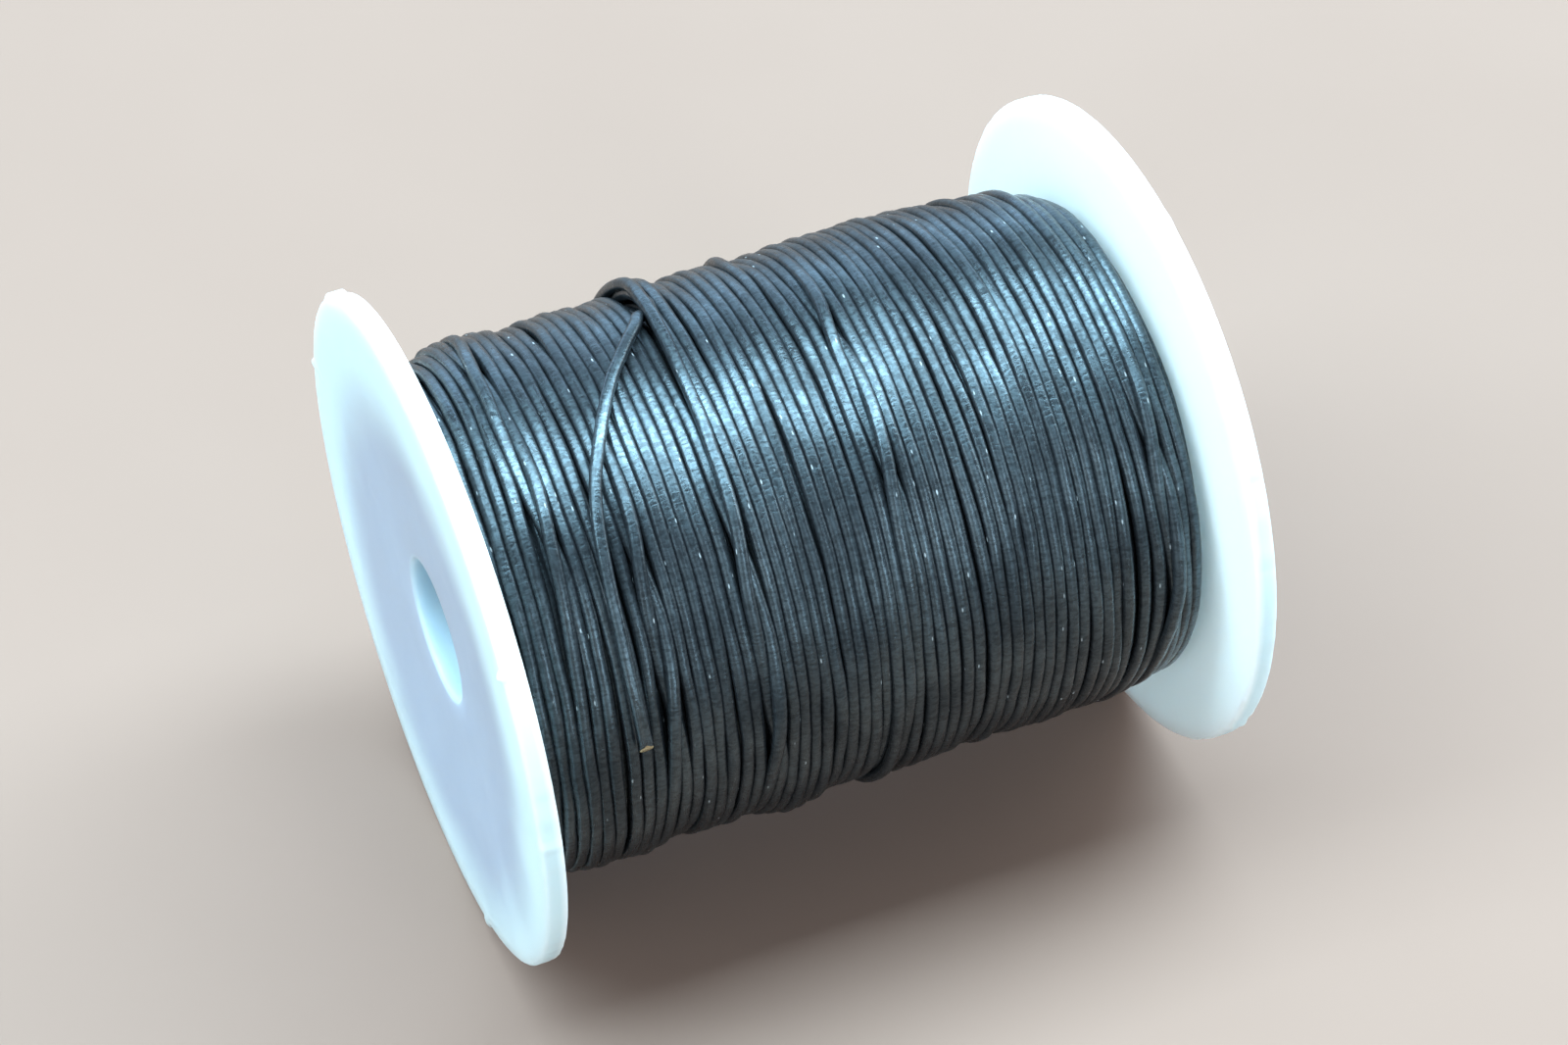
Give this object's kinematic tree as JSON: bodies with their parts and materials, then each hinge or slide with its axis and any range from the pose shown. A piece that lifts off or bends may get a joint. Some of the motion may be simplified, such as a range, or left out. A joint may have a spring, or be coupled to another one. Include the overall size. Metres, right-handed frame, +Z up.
{
  "type": "cord spool",
  "caption": "Small plastic spool with two thin dished flanges, wound full of round black waxed cord whose free end is tucked under a raised turn.",
  "frame": {"origin": "centre of the spindle bore, midway between the two rims", "axes": "+X along the spindle bore towards the right flange, +Z up, with the spool lying on its two rims"},
  "size_m": [0.061, 0.055, 0.055],
  "materials": {
    "natural_plastic": "milky unpigmented polypropylene, moulded, satin",
    "core_plastic": "milky unpigmented polypropylene, extruded, satin",
    "waxed_cord": "black waxed round cord with broken highlights",
    "inner_cord": "black waxed round cord, packed"
  },
  "bodies": {
    "root": {"left_flange": "natural_plastic", "right_flange": "natural_plastic", "core_tube": "core_plastic", "cord_core": "inner_cord", "cord_turns": "waxed_cord", "cord_tail": "waxed_cord"}
  },
  "joints": []
}
